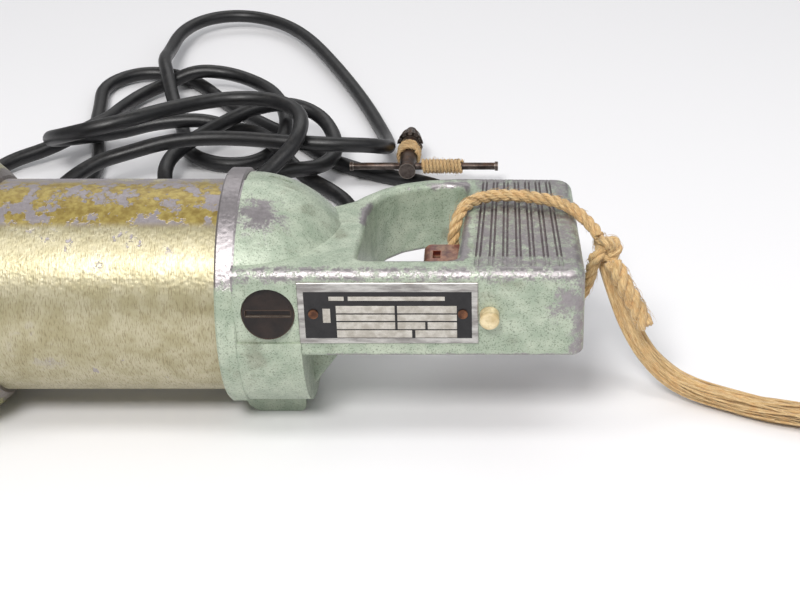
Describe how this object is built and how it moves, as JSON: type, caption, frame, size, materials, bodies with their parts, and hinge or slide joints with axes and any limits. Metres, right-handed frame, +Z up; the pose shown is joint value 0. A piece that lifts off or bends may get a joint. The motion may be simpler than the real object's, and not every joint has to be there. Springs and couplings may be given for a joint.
{
  "type": "electric hand drill",
  "caption": "Corded electric hand drill with a D handle, key chuck, mains cable with plug, chuck key tied on with twine and a twine hanging loop.",
  "frame": {"origin": "on the bench under the middle of the tool's own length and width, without the free cable, key and twine", "axes": "+X from the chuck towards the handle, +Y away from the nameplate side, +Z up from the bench"},
  "size_m": [0.4856, 0.4682, 0.099],
  "materials": {
    "green_hammertone": "hammered enamel over cast aluminium, rubbed to bare metal on the edges",
    "gold_hammertone": "hammered enamel, worn to grey metal near the top",
    "olive_hammertone": "hammered enamel over cast aluminium",
    "bare_aluminium": "as cast",
    "nameplate_metal": "black fields with bright borders",
    "copper_rivet": "dull",
    "bakelite_dark": "polished",
    "bakelite_red": "polished, dusty on top",
    "button_cream": "polished",
    "black_rubber": "matt, dusty",
    "plug_rubber": "matt",
    "plated_brass": "worn plating",
    "jute": "hairy twisted fibre",
    "key_steel": "blackened, worn",
    "chuck_steel": "dulled",
    "hard_steel": "ground",
    "screw_steel": "zinc plated, dull",
    "sintered_bronze": "oily",
    "core_steel": "stacked laminations",
    "enamelled_copper": "varnished windings",
    "commutator_copper": "run-in",
    "fan_plastic": "moulded",
    "carbon": "pressed carbon",
    "moulded_black": "moulded"
  },
  "bodies": {
    "tool": {"handle_shell_upper": "green_hammertone", "handle_shell_lower": "green_hammertone", "motor_housing": "gold_hammertone", "gear_housing": "olive_hammertone", "gear_plate": "bare_aluminium", "nameplate": "nameplate_metal", "nameplate_rivets": "copper_rivet", "brush_caps": "bakelite_dark", "bend_sleeve": "black_rubber", "cable_in_handle": "black_rubber", "mains_cable": "black_rubber", "plug_body": "plug_rubber", "plug_pins": "plated_brass", "brush_holders": "plated_brass", "twine_tie": "jute", "twine_loop": "jute", "twine_knot": "jute", "twine_fold": "jute", "twine_tail": "jute", "key_body": "key_steel", "key_bar": "key_steel", "tie_bolts": "screw_steel", "clamp_screws": "screw_steel", "shell_screws": "screw_steel", "trigger_spring": "screw_steel", "lock_spring": "screw_steel", "brush_springs": "screw_steel", "spindle_bush": "sintered_bronze", "layshaft_bushes": "sintered_bronze", "armature_front_bush": "sintered_bronze", "armature_rear_bush": "sintered_bronze", "field_core": "core_steel", "field_coils": "enamelled_copper", "carbon_brushes": "carbon", "switch_body": "moulded_black", "terminal_block": "moulded_black", "cable_clamp": "moulded_black"},
    "spindle_and_chuck": {"spindle": "hard_steel", "output_gear": "hard_steel", "chuck_body": "chuck_steel"},
    "chuck_sleeve_ring": {"chuck_sleeve": "chuck_steel"},
    "jaw_1": {"chuck_jaw_1": "hard_steel"},
    "jaw_2": {"chuck_jaw_2": "hard_steel"},
    "jaw_3": {"chuck_jaw_3": "hard_steel"},
    "layshaft_set": {"layshaft": "hard_steel", "layshaft_gear": "hard_steel"},
    "armature": {"armature_shaft": "hard_steel", "armature_core": "core_steel", "armature_windings": "enamelled_copper", "commutator": "commutator_copper", "cooling_fan": "fan_plastic"},
    "trigger_button": {"trigger": "bakelite_red"},
    "lock_pin": {"lock_button": "button_cream"}
  },
  "joints": [
    {"name": "spindle_spin", "type": "hinge", "parent": "tool", "child": "spindle_and_chuck", "pos_m": [0.00039, -0.00725, 0.0495], "axis": [1, 0, 0], "continuous": true},
    {"name": "layshaft_spin", "type": "hinge", "parent": "tool", "child": "layshaft_set", "pos_m": [0.00039, 0.01375, 0.0495], "axis": [1, 0, 0], "continuous": true},
    {"name": "armature_spin", "type": "hinge", "parent": "tool", "child": "armature", "pos_m": [0.00039, -0.00725, 0.0495], "axis": [1, 0, 0], "continuous": true},
    {"name": "chuck_sleeve_turn", "type": "hinge", "parent": "spindle_and_chuck", "child": "chuck_sleeve_ring", "pos_m": [0.00039, -0.00725, 0.0495], "axis": [1, 0, 0], "range_deg": [0, 1080]},
    {"name": "jaw_1_slide", "type": "slide", "parent": "spindle_and_chuck", "child": "jaw_1", "axis": [-0.9613, 0, -0.2756], "range_m": [0, 0.0161]},
    {"name": "jaw_2_slide", "type": "slide", "parent": "spindle_and_chuck", "child": "jaw_2", "axis": [-0.9613, 0.2387, 0.1378], "range_m": [0, 0.0161]},
    {"name": "jaw_3_slide", "type": "slide", "parent": "spindle_and_chuck", "child": "jaw_3", "axis": [-0.9613, -0.2387, 0.1378], "range_m": [0, 0.0161]},
    {"name": "trigger_pull", "type": "slide", "parent": "tool", "child": "trigger_button", "axis": [1, 0, 0], "range_m": [0, 0.006], "stiffness_N_per_m": 1200, "springref_m": -0.004, "deforming": ["trigger_spring"]},
    {"name": "lock_press", "type": "slide", "parent": "tool", "child": "lock_pin", "axis": [0, 1, 0], "range_m": [0, 0.003], "stiffness_N_per_m": 800, "springref_m": -0.002, "deforming": ["lock_spring"]}
  ],
  "couplings": [
    {"joint": "layshaft_spin", "follows": "spindle_spin", "ratio": -3.6667},
    {"joint": "armature_spin", "follows": "spindle_spin", "ratio": 16.867},
    {"joint": "jaw_1_slide", "follows": "chuck_sleeve_turn", "m_per_rad": 0.0008488},
    {"joint": "jaw_2_slide", "follows": "chuck_sleeve_turn", "m_per_rad": 0.0008488},
    {"joint": "jaw_3_slide", "follows": "chuck_sleeve_turn", "m_per_rad": 0.0008488}
  ]
}
